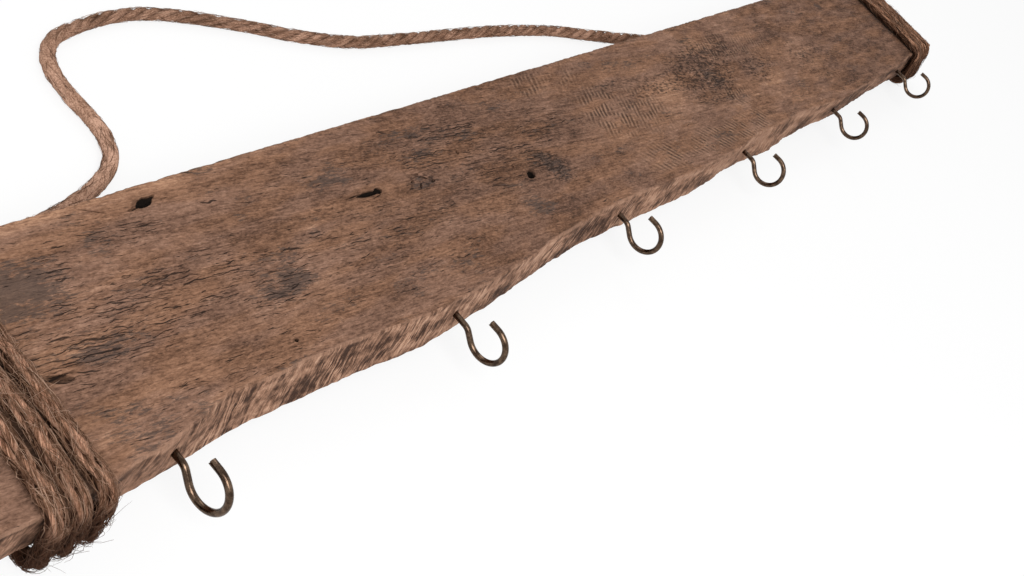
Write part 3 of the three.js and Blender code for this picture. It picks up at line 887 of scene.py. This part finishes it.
def winding_points(side, turns, inset, slack):
    """The points of a winding and their outward directions: its tail, its turns and the crossing strand."""
    down = (0.0, 0.0, -1.0)
    pitch = TURN_PITCH - (RIGHT_SQUEEZE if side > 0 else 0)

    def lane(k):
        return side * (BOARD_LENGTH / 2 - inset + k * pitch)

    points = [((lane(0), TAIL_SHARE * BOARD_WIDTH, -UNDER_TURNS), down)]
    for k in range(turns):
        points += turn_points(lane(k), slack)
        if k + 1 < turns:
            for i, share in enumerate(SHIFT_SHARES):
                part = (i + 1) / len(SHIFT_SHARES)
                x = lane(k) + (lane(k + 1) - lane(k)) * part * part * (3 - 2 * part)
                points.append(((x, share * BOARD_WIDTH, -UNDER_TURNS), down))
    for share, dropped in DROP_SHARES:
        depth = UNDER_TURNS + (CROSSING_DEPTH - UNDER_TURNS) * dropped
        points.append(((lane(turns - 1), share * BOARD_WIDTH, -depth), down))
    start = np.array(points[-1][0])
    leave = np.array((lane(0) - side * EXIT_INSET, BOARD_WIDTH + EXIT_REACH, -CROSSING_DEPTH))
    loose = GROUND_DEPTH - ROPE_RADIUS - GROUND_CLEARANCE
    straight = 1 - ROPE_DIAMETER / np.linalg.norm(leave - start)
    crossing = [(share, CROSSING_DEPTH) for share in CROSSING_SHARES]
    for share, depth in crossing + [(straight, loose), (1.0, loose)]:
        place = start + (leave - start) * share
        points.append(((place[0], place[1], -depth), down))
    places = np.array([place for place, _ in points]) + (0, FRONT_LINE, FACE_HEIGHT)
    return places, np.array([out for _, out in points])


def make_winding(node, side, turns, inset, slack, seed, jute, fuzz, laid, stray, longest):
    """The rope round one end of the board, and its fibres."""
    places, outs = winding_points(side, turns, inset, slack)
    line, outward, along = evenly(*flowing_line(places, outs, parts=8), ROPE_STEP)
    outward = square_to(outward, headings(line))
    # On the board the turns lie a little flattened and unsteady. The crossing strand stays as it is.
    loose = np.clip((along[-1] - CROSSING_RUN - along) / CROSSING_FADE, 0, 1)
    line = line + np.array([1.0, 0, 0]) * (TURN_SWAY * wander(along, 0.035, seed) * loose)[:, None]
    line = line + outward * (TURN_LIFT * np.abs(wander(along, 0.02, seed + 4)) * loose)[:, None]
    strands = lay_strands(
        line, outward, along, WOUND_LAY, thick=1 - 0.04 * loose, wide=1 + 0.08 * loose, swell=0.10, seed=seed,
    )

    def shade(vertices, hollow, sides):
        """Painted shade: darker between the turns and against the board than on the outside."""
        from_line = vertices.reshape(-1, sides, 3) - line[:, None]
        out = (from_line * outward[:, None]).sum(-1).ravel() / ROPE_RADIUS
        return np.clip(hollow * 0.80 + np.clip((0.66 - out) / 0.80, 0, 1) * 0.9, 0, 1)

    piece = rope_piece(node + "_rope", lay_yarns(strands, seed), jute, shade)
    belong(piece, "rack", "rope", node)

    def in_wood(point, away):
        """Whether a fibre on this side of the rope would lie against the board."""
        if point[2] > FACE_HEIGHT:
            return away[2] < -0.1
        if point[2] < BACK_HEIGHT:
            return away[2] > 0.1
        beside = FRONT_LINE - NEAR_WOOD < point[1] < FAR_LINE + NEAR_WOOD
        return beside and away[1] * (point[1] - 0.02) < 0

    fluff = fibre_piece(
        node + "_fibres", line, outward, fuzz, laid, stray, longest, wide=1.07, keep_out=in_wood,
        bridging=True,
    )
    belong(fluff, "rack", "rope")


def make_loose_rope(jute, fuzz):
    route = [(x * MM, y * MM, ROPE_HEIGHT) for x, y in LOOSE_ROUTE]
    line, _, along = evenly(*flowing_line(route), ROPE_STEP)
    outward = np.tile((0.0, 0.0, 1.0), (len(line), 1))
    merged = np.clip((WOOLLY_UNTIL - along) / WOOLLY_FADE, 0, 1)
    girth = np.interp(along, *zip(*LOOSE_GIRTH))
    strands = lay_strands(
        line, outward, along, LOOSE_LAY, thick=0.97, wide=1.03, swell=0.09, seed=41.0,
        merged=merged, girth=girth,
    )

    def woolly(vertices, hollow, sides):
        """Less painted shade in the grooves where the strands have merged."""
        return hollow * np.repeat(1 - 0.85 * merged, sides)

    piece = rope_piece("loop_rope", strands, jute, woolly)
    point_values(piece, "woolly", np.tile(np.repeat(merged, STRAND_SIDES), STRAND_COUNT))
    belong(piece, "rack", "rope", "hanging_rope")
    fluff = fibre_piece(
        "loop_rope_fibres", line, outward, fuzz, laid=2800, stray=500, longest=0.010, girth=girth)
    belong(fluff, "rack", "rope")
    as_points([tuple(p) for p in line[::4]] + [tuple(line[-1])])


# The hooks.
def bend_hook():
    """One hook, bent by spinning a round wire end about its bends, and where its tip ends and heads."""
    bpy.ops.mesh.primitive_circle_add(
        vertices=24, radius=WIRE_RADIUS, fill_type="NGON", location=(0, THREAD_LENGTH, 0),
        rotation=(math.pi / 2, 0, 0),
    )
    model = placed()
    bpy.ops.object.mode_set(mode="EDIT")
    bpy.ops.mesh.select_all(action="SELECT")

    heading = 0.0
    out, side = -THREAD_LENGTH, 0.0

    def straight(run):
        nonlocal out, side
        step = (run * math.cos(heading), run * math.sin(heading))
        bpy.ops.mesh.extrude_region_move(TRANSFORM_OT_translate={"value": (0, -step[0], step[1])})
        out += step[0]
        side += step[1]

    def bend(radius, turn, steps):
        nonlocal heading, out, side
        angle = math.radians(turn)
        sign = math.copysign(1, angle)
        middle = (out - sign * radius * math.sin(heading), side + sign * radius * math.cos(heading))
        # Spin turns the other way round its axis, so the axis +X takes the wire from -Y towards +Z.
        bpy.ops.mesh.spin(steps=steps, angle=angle, center=(0, -middle[0], middle[1]), axis=(1, 0, 0))
        heading += angle
        out = middle[0] + sign * radius * math.sin(heading)
        side = middle[1] - sign * radius * math.cos(heading)

    straight(THREAD_LENGTH + SHANK_LENGTH)
    bend(NECK_RADIUS, -NECK_TURN, 10)
    straight(NECK_RUN)
    bend(BOWL_RADIUS, BOWL_TURN, 44)
    straight(TIP_LENGTH)
    bpy.ops.object.mode_set(mode="OBJECT")
    return model, (out, side, heading)


def finish_hooks(model, tip, bronze):
    """The nip mark of the cutter across the wire's cut end, and a copy of the hook at each root."""
    out, side, heading = tip
    bpy.ops.object.mode_set(mode="EDIT")
    bpy.ops.mesh.select_all(action="SELECT")
    bpy.ops.mesh.remove_doubles(threshold=1e-6)
    bpy.ops.mesh.normals_make_consistent(inside=False)
    bpy.ops.object.mode_set(mode="OBJECT")
    deselect()
    bpy.ops.mesh.primitive_cube_add(
        size=1, location=(0, -out, side), rotation=(math.pi / 4 - heading, 0, 0), scale=NIP_SIZE)
    cut_away(model, placed())
    soften = model.modifiers.new("soften", "BEVEL")
    soften.width = NIP_ROUNDING
    soften.segments = 2
    soften.limit_method = "ANGLE"
    soften.angle_limit = math.radians(40)
    bpy.ops.object.modifier_apply(modifier="soften")
    bpy.ops.object.shade_smooth_by_angle(angle=math.radians(35))
    for k, (x, y, lean) in enumerate(HOOK_ROOTS):
        place = Matrix.Translation((x * MM, y * MM, HOOK_HEIGHT))
        mesh = model.data.copy()
        mesh.transform(place @ Matrix.Rotation(math.radians(lean), 4, "Y"))
        mesh.materials.append(bronze)
        node = "hook_%d" % (k + 1)
        belong(in_scene("wire_" + node, mesh), node, "hooks", node)
    bpy.data.objects.remove(model)


# The board.
# The tables of its patches and stretches are in millimetres. A patch on the face has its place along and
# across, its half length, its half width and its strength.
STAIN_PATCHES = [
    (-560, 52, 42, 22, 1.3), (-493, 57, 12, 11, 0.9), (-525, 12, 34, 12, 0.7), (-414, 3, 30, 15, 0.85),
    (-536, -36, 18, 13, 0.8), (-331, 52, 22, 12, 0.7), (-338, -31, 24, 9, 0.6), (-252, 67, 20, 9, 0.75),
    (-246, 49, 26, 8, 0.6), (-270, 29, 14, 6, 0.9), (-150, 0, 12, 18, 0.95), (-193, -21, 16, 13, 0.85),
    (-161, -24, 8, 8, 0.8), (-290, -34, 30, 7, 0.7), (107, 48, 34, 9, 0.6), (134, 22, 16, 18, 0.5),
    (172, 50, 22, 9, 0.5), (377, 59, 9, 8, 0.9), (452, 58, 7, 5, 1.0), (392, -26, 9, 9, 0.6),
    (20, 62, 26, 12, 0.6), (60, -34, 36, 8, 0.55), (-20, -28, 18, 8, 0.6), (470, 12, 22, 5, 0.55),
    (-202, 50, 16, 6, 0.8), (250, -20, 30, 12, 0.4), (-450, -45, 20, 6, 0.4), (560, 20, 25, 40, 0.5),
]
CHECK_PATCHES = [
    (-530, 12, 60, 22, 1.0), (-470, 18, 60, 26, 0.8), (-414, 3, 40, 20, 0.9), (-500, 60, 50, 18, 0.6),
    (-350, 10, 70, 34, 0.55), (-230, 48, 60, 20, 1.15), (-450, -30, 50, 14, 0.55), (-190, 20, 60, 26, 0.9),
    (-300, -10, 70, 30, 0.6), (-130, 40, 50, 22, 0.8), (-150, 0, 20, 22, 0.8), (110, 30, 60, 26, 0.6),
    (60, 10, 60, 22, 0.4), (-320, 60, 60, 16, 0.4), (-50, 50, 40, 12, 0.4), (400, 30, 90, 26, 0.25),
]
SAWN_PATCHES = [
    (-42, 27, 32, 26, 1.0), (-104, 72, 18, 12, 0.7), (-62, 74, 26, 12, 0.6), (-25, -27, 32, 14, 0.9),
    (4, 18, 26, 26, 0.8), (60, -31, 52, 13, 0.95), (120, -33, 44, 13, 1.0), (146, -4, 24, 14, 0.7),
    (180, 50, 46, 16, 0.65), (230, 44, 46, 18, 0.5),
]
# How far out a patch reaches, in half sizes.
PATCH_EDGE = 1.4
# How calm the streaks of the sides are, and how far painted shade dims the wood, at these places along the
# board in millimetres.
CALM = [(-545, 0.9), (-490, 0.0), (-90, 0.0), (60, 0.6)]
PAINTED_DIMNESS = [(-640, -0.3), (-300, 0.65), (-160, 0.8), (-30, 0.4), (40, 0.0), (200, 0.05), (330, 0.45), (460, 0.8)]
# Where painted shade darkens the wood between the turns of rope.
PAINTED_SHADE_STRETCHES = [(-593.5, -567.0), (561.0, 597.0)]
SPECK_PATCHES = [
    (125, 30, 66, 34, 1.0), (170, 45, 50, 22, 0.9), (20, 40, 60, 20, 0.6), (220, 20, 50, 30, 0.6),
    (330, 0, 60, 30, 0.5), (-150, 0, 22, 20, 0.7), (-272, 29, 18, 8, 0.8),
]
WARM_PATCHES = [
    (-470, 85, 110, 7, 1.0), (-330, 85, 50, 4, 0.5), (48, 24, 34, 18, 0.85), (20, 10, 40, 20, 0.5),
    (-60, 10, 30, 14, 0.4), (300, 10, 50, 20, 0.5), (210, -10, 40, 16, 0.4),
]
# Clean stretches of the side, lighter with a painted highlight: place along, depth below the face, half
# length, half height and strength.
PALE_PATCHES = [
    (-250, 5, 110, 7, 1.0), (-140, 6, 60, 8, 0.9), (-20, 7, 90, 8, 1.0), (120, 10, 40, 12, 0.7),
    (-470, 5, 50, 5, 0.4), (240, 10, 60, 10, 0.5),
]
# How the board is cut into cells: the axis, the shortest edge that is cut, and the number of cuts.
BOARD_CUTS = [(0, 0.1, 93), (0, 0.008, 6), (1, 0.05, 51), (2, 0.015, 11)]
BOARD_BEVEL = 0.0009
# How much wider each pilot hole is at its mouth. The first one is torn.
MOUTHS = [1.5, 1.12, 1.12, 1.12, 1.12, 1.12]


def patch_value(patches, x, y):
    """How strong the strongest of these patches is at a place in millimetres."""
    most = 0.0
    for px, py, half_long, half_wide, strength in patches:
        far = math.hypot((x - px) / half_long, (y - py) / half_wide)
        if far < PATCH_EDGE:
            part = min(PATCH_EDGE - far, 1.0)
            most = max(most, strength * part * part * (3 - 2 * part))
    return most


def select_edges_along(mesh, axis, shortest):
    """Selects the edges that run along an axis and are longer than this. The mesh is in object mode."""
    for edge in mesh.edges:
        start, end = (mesh.vertices[i].co for i in edge.vertices)
        run = end - start
        edge.select = run.length > shortest and abs(run[axis]) > 0.99 * run.length


def sawn_board():
    """The board as it was sawn: a block with its arrises taken off, cut into small cells."""
    bpy.ops.mesh.primitive_cube_add(
        size=1, location=(0, (FRONT_LINE + FAR_LINE) / 2, (FACE_HEIGHT + BACK_HEIGHT) / 2),
        scale=(BOARD_LENGTH, BOARD_WIDTH, BOARD_THICKNESS),
    )
    board = placed()
    board.name = "weathered_board"
    bpy.ops.object.mode_set(mode="EDIT")
    bpy.ops.mesh.select_mode(type="EDGE")
    bpy.ops.mesh.select_all(action="SELECT")
    bpy.ops.mesh.bevel(offset=BOARD_BEVEL, segments=1, affect="EDGES")
    for axis, shortest, cuts in BOARD_CUTS:
        bpy.ops.mesh.select_all(action="DESELECT")
        bpy.ops.object.mode_set(mode="OBJECT")
        select_edges_along(board.data, axis, shortest)
        bpy.ops.object.mode_set(mode="EDIT")
        bpy.ops.mesh.subdivide(number_cuts=cuts)
    bpy.ops.object.mode_set(mode="OBJECT")
    return board


def weather(place, normal):
    """Where the weather has left a place on the sawn board. Heights are in millimetres."""
    x, y, z = in_mm(place)
    face_front = wear_at(FACE_WEAR, place.x)
    back_front = wear_at(BACK_WEAR, place.x)
    front = back_front + (face_front - back_front) * (place.z - BACK_HEIGHT) / BOARD_THICKNESS
    from_far = (FAR_LINE - place.y) / BOARD_WIDTH

    # The edges are rough with upright saw bands and torn hollows, and the far edge is a little ragged.
    at_front = clamped((from_far - 0.955) / 0.035)
    at_far = clamped((0.035 - from_far) / 0.03)
    bands = ripple(x / 4.2 + z / 26, z / 45, 3.1)
    torn = ripple(x / 15, z / 9, 8.4) + 0.5 * ripple(x / 6, z / 6, 2.4)
    long_wave = ripple(x / 38, z / 40, 5.5)
    into_front = at_front * (0.45 * bands + 0.75 * torn + 0.7 * long_wave)
    into_far = at_far * abs(0.6 * bands + 0.9 * torn + 0.5 * long_wave)

    # The face and back have shallow hollows along the grain, and the ends are rough.
    dips = ripple(x / 60, y / 9, 1.2) * 0.32 + ripple(x / 17, y / 4.5, 6.2) * 0.20
    out_of_end = normal.x * ripple(y / 5, z / 5, 9.1) * 0.5 if abs(normal.x) > 0.9 else 0.0
    return Vector((
        place.x + out_of_end * MM,
        FAR_LINE - from_far * (BOARD_WIDTH - front) + (into_front - into_far) * MM,
        place.z + normal.z * dips * MM,
    ))


def pit_cutter(x, y, length, width, depth, turn):
    """Half an uneven egg. A long one is pointed, as a split is."""
    deselect()
    bpy.ops.mesh.primitive_ico_sphere_add(subdivisions=4, radius=1, location=(0, 0, 0))
    cutter = bpy.context.object
    pointed = clamped(length / width - 2.2)
    for v in cutter.data.vertices:
        v.co.y *= (1 - 0.99 * v.co.x ** 2) ** (0.45 * pointed)
        v.co *= 1 + 0.13 * noise.noise(v.co * 1.7 + Vector((x, y, 0))) + 0.10 * noise.noise(v.co * 5.3)
    cutter.data.transform(
        Matrix.Translation((x * MM, y * MM, FACE_HEIGHT)) @ Matrix.Rotation(math.radians(turn), 4, "Z")
        @ Matrix.Diagonal((length / 2 * MM, width / 2 * MM, depth * MM, 1)))
    return cutter


def pilot_cutter(x, y, widened):
    """The hole of a hook, wider at its mouth."""
    deselect()
    bpy.ops.mesh.primitive_cone_add(
        vertices=20, radius1=PILOT_RADIUS, radius2=PILOT_RADIUS * widened, depth=PILOT_DEPTH,
        location=(x * MM, y * MM + PILOT_MIDDLE, HOOK_HEIGHT), rotation=(math.pi / 2, 0, 0))
    return placed()


def cut_in_rounds(board, cutters):
    """Cutters that lie apart cut together, and one that touches another cuts in a later round."""
    rounds = []
    for cutter, middle, reach in cutters:
        for group in rounds:
            if all((middle - other).length > reach + far for _, other, far in group):
                group.append((cutter, middle, reach))
                break
        else:
            rounds.append([(cutter, middle, reach)])
    for group in rounds:
        deselect()
        for cutter, _, _ in group:
            cutter.select_set(True)
        bpy.context.view_layer.objects.active = group[0][0]
        if len(group) > 1:
            bpy.ops.object.join()
        cut_away(board, bpy.context.object)


def pit_painted_shade(x, y, depth):
    """How much painted shade darkens the wood in a pit and round its rim, from 0 to 1, at a place in
    millimetres.
    """
    dark = 0.0
    for px, py, length, width, pit_depth, turn in PITS:
        if math.hypot(x - px, y - py) < length * 0.75 + 1.5 and depth < pit_depth + 1.5:
            c, s = math.cos(math.radians(turn)), math.sin(math.radians(turn))
            u, v = (x - px) * c + (y - py) * s, (y - py) * c - (x - px) * s
            rim = math.hypot(u / (length / 2), v / (width / 2))
            shade = clamped((depth - 0.4) / 1.3) * min(1.0, 0.25 + pit_depth / 8)
            dark = max(dark, shade if rim < 1.5 else 0.0, 0.34 * (1.7 - rim) if pit_depth > 4 else 0.0)
    return dark


def hidden_painted_shade(x, y, z, front, depth):
    """How much painted shade darkens the wood in the hooks' holes and between the turns of rope, likewise."""
    dark = 0.0
    inside = max(front + 1.0, -70) < y < -10 and depth > 3
    if inside and any(math.hypot(x - root, z - HOOK_HEIGHT / MM) < 3.0 for root, _, _ in HOOK_ROOTS):
        dark = 0.85
    for low, high in PAINTED_SHADE_STRETCHES:
        if low < x < high:
            dark = max(dark, 0.6 * min(1.0, (x - low) / 2, (high - x) / 2))
    return dark


def wood_values(x, y, z):
    """What the wood's look reads at a place on the board, in millimetres."""
    front = FRONT_LINE / MM + wear_at(FACE_WEAR, x * MM) / MM
    depth = FACE_HEIGHT / MM - z
    on_face = depth < 12
    return {
        "arris": min(40.0, math.hypot(max(0.0, y - front - 1.0), max(0.0, depth - 1.0))),
        "stain": patch_value(STAIN_PATCHES, x, y) if on_face else 0.5,
        "checks": patch_value(CHECK_PATCHES, x, y) if on_face else 0.5,
        "sawn": patch_value(SAWN_PATCHES, x, y) if on_face else 0.6,
        "lower": 1.0 if y < -8 else 0.0,
        "specks": patch_value(SPECK_PATCHES, x, y),
        "warm": patch_value(WARM_PATCHES, x, y) if depth < 3 else 0.0,
        "pale": patch_value(PALE_PATCHES, x, depth),
        "dusk": level_at(PAINTED_DIMNESS, x),
        "calm": level_at(CALM, x),
        "brink": max(0.0, 1 - max(0.0, FAR_LINE / MM - y) / 3.0) if depth < 4 else 0.0,
        # The pit value is painted shade in pits, holes and between the turns of rope.
        "pit": max(pit_painted_shade(x, y, depth), hidden_painted_shade(x, y, z, front, depth)),
    }


def side_and_end(face):
    """How far a face belongs to the sawn sides, and to the ends."""
    near_front = face.center.y < FRONT_LINE + wear_at(FACE_WEAR, face.center.x) + 3 * MM
    near_edge = near_front or face.center.y > FAR_LINE - 3 * MM
    side = clamped((abs(face.normal.y) - 0.45) / 0.4) if near_edge else 0.0
    end = clamped((abs(face.normal.x) - 0.5) / 0.3) if abs(face.center.x) > 0.625 else 0.0
    return side, end


def make_board(wood):
    """The board, weathered and holed, with the values that its look reads."""
    board = sawn_board()
    sawn = [(v.co.copy(), v.normal.copy()) for v in board.data.vertices]
    for vertex, (place, normal) in zip(board.data.vertices, sawn):
        vertex.co = weather(place, normal)

    cutters = [(pit_cutter(*pit), Vector(pit[:2]), pit[2] * 0.8) for pit in PITS]
    for (x, y, _), widened in zip(HOOK_ROOTS, MOUTHS):
        cutters.append((pilot_cutter(x, y, widened), Vector((x, y)), 24))
    cut_in_rounds(board, cutters)
    bpy.ops.object.shade_smooth_by_angle(angle=math.radians(38))

    mesh = board.data
    rows = [wood_values(*in_mm(vertex.co)) for vertex in mesh.vertices]
    for name in rows[0]:
        point_values(board, name, [row[name] for row in rows])
    # The sides and the ends are held on the corners, so that the arris stays crisp.
    corners = [face.loop_total for face in mesh.polygons]
    shares = np.repeat([side_and_end(face) for face in mesh.polygons], corners, axis=0)
    for name, numbers in zip(("side", "end"), shares.T):
        held = mesh.attributes.new(name, "FLOAT", "CORNER")
        held.data.foreach_set("value", np.ascontiguousarray(numbers, np.float32))
    mesh.materials.clear()
    mesh.materials.append(wood)
    belong(board, "rack", "wood", "plank")


# The stage: the floor, the sky and the lamps. A lamp has a name, a place, a power and the point it aims at.
FLOOR_SIZE = 30
FLOOR_GREY = 0.92
FLOOR_WHITE_SHARE = 0.82
SKY_LEVEL = 0.55
LAMP_SIZE = 1.2
LAMPS = [
    ("soft_box", (-1.25, -1.0, 1.7), 36.0, (-0.1, 0, 0.03)),
    ("far_box", (0.7, 1.3, 1.8), 8.0, (0.1, 0, 0.03)),
]


def looked_at(look):
    """1 for a ray from the camera, or one that metal or glass sends on, and 0 for light on the object."""
    kinds = ("Is Camera Ray", "Is Glossy Ray", "Is Transmission Ray")
    seen, mirrored, through = (look.node("ShaderNodeLightPath", out=kind) for kind in kinds)
    return (seen + mirrored + through).least(1.0)


def make_stage():
    deselect()
    bpy.ops.mesh.primitive_plane_add(size=FLOOR_SIZE, location=(0, 0, 0))
    floor = bpy.context.object
    floor.name = "floor"
    look = Look("pale_floor")
    plain = look.node("ShaderNodeBsdfDiffuse", None, {"Color": (FLOOR_GREY, FLOOR_GREY, FLOOR_GREY, 1)})
    white = look.node("ShaderNodeEmission", None, {"Color": (1, 1, 1, 1), "Strength": 1.0})
    share = looked_at(look) * FLOOR_WHITE_SHARE
    look.show(look.node("ShaderNodeMixShader", None, {0: share, 1: plain, 2: white}))
    floor.data.materials.append(look.made)

    sky = Look("studio", world=True)
    bpy.context.scene.world = sky.made
    level = sky.node("ShaderNodeMapRange", None, {0: looked_at(sky), 3: SKY_LEVEL, 4: 1.0})
    sky.show(sky.node("ShaderNodeBackground", None, {"Color": (1, 1, 1, 1), "Strength": level}))

    for name, place, power, aim in LAMPS:
        data = bpy.data.lights.new(name, "AREA")
        data.size = LAMP_SIZE
        data.energy = power
        lamp = in_scene(name, data)
        lamp.location = place
        lamp.rotation_euler = (Vector(aim) - Vector(place)).to_track_quat("-Z", "Y").to_euler()


def make_camera():
    data = bpy.data.cameras.new("camera")
    data.lens = CAMERA_LENS
    data.sensor_width = CAMERA_SENSOR
    camera = in_scene("camera", data)
    columns = [Vector(CAMERA_RIGHT), Vector(CAMERA_UP), -Vector(CAMERA_AHEAD), Vector(CAMERA_PLACE)]
    rows = [[column[row] for column in columns] for row in range(3)]
    camera.matrix_world = Matrix(rows + [[0, 0, 0, 1]])
    data.clip_start = CAMERA_NEAR
    data.clip_end = CAMERA_FAR
    bpy.context.scene.camera = camera


make_camera()
jute = jute_look("jute", (0.315, 0.176, 0.116), contrast=0.65, groove_shade_share=0.85)
# The windings get painted shade near the ground, less of it on the right one.
left_jute = jute_look("left_jute", (0.345, 0.177, 0.109), contrast=1.55, groove_shade_share=0.98, ground_shade=0.95)
right_jute = jute_look("right_jute", (0.30, 0.152, 0.090), contrast=1.35, groove_shade_share=0.92, ground_shade=0.6)
bronze = bronze_look()
wood = wood_look()
make_loose_rope(jute, fibre_look("jute_fibres"))
# Their fibres get the same painted shade near the ground.
wound_fuzz = fibre_look("wound_jute_fibres", ground_shade=0.88)
make_winding(
    "left_winding", side=-1, turns=3, inset=0.062, slack=0.004, seed=11.0, jute=left_jute, fuzz=wound_fuzz,
    laid=2800, stray=1500, longest=0.022,
)
make_winding(
    "right_winding", side=1, turns=4, inset=0.068, slack=0.001, seed=23.0, jute=right_jute, fuzz=wound_fuzz,
    laid=2200, stray=450, longest=0.014,
)
hook, tip = bend_hook()
finish_hooks(hook, tip, bronze)
make_board(wood)
make_stage()
bpy.context.scene.view_settings.view_transform = "Standard"
